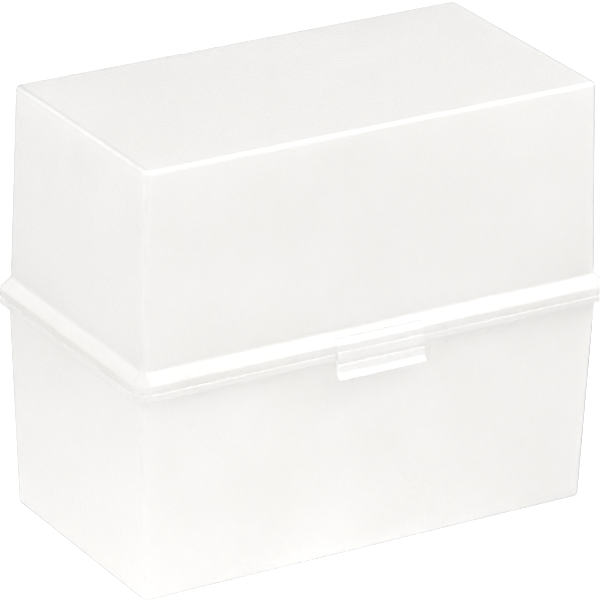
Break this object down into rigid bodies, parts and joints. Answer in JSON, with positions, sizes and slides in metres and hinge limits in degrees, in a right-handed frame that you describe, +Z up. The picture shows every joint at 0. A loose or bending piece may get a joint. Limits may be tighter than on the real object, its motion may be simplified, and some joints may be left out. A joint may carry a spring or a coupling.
{
  "type": "card index box",
  "caption": "Upright frosted plastic box for index cards, with a deep hinged lid, a flanged rim and a springy latch tab at the front.",
  "frame": {"origin": "middle of the tray's flat underside", "axes": "+Z up, -Y towards the latch at the front, +Y towards the hinges, +X along the box's long side"},
  "size_m": [0.171, 0.101, 0.142],
  "materials": {
    "tray_plastic": "frosted translucent polypropylene, nearly colourless, with a fine moulded grain",
    "lid_plastic": "frosted translucent polypropylene, nearly colourless, with a fine moulded grain",
    "tab_plastic": "frosted translucent polypropylene, nearly colourless",
    "pin_steel": "bright drawn steel wire"
  },
  "bodies": {
    "tray": {"base_tray": "tray_plastic", "hinge_pin_left": "pin_steel", "hinge_pin_right": "pin_steel"},
    "lid": {"lid": "lid_plastic"},
    "latch": {"latch_tab": "tab_plastic"}
  },
  "joints": [
    {"name": "lid_hinge", "type": "hinge", "parent": "tray", "child": "lid", "pos_m": [0, 0.05, 0.072], "axis": [-1, 0, 0], "range_deg": [0, 180]},
    {"name": "latch_flex", "type": "hinge", "parent": "lid", "child": "latch", "pos_m": [0, -0.04476, 0.07536], "axis": [-1, 0, 0], "range_deg": [0, 12], "stiffness_Nm_per_rad": 0.01}
  ]
}
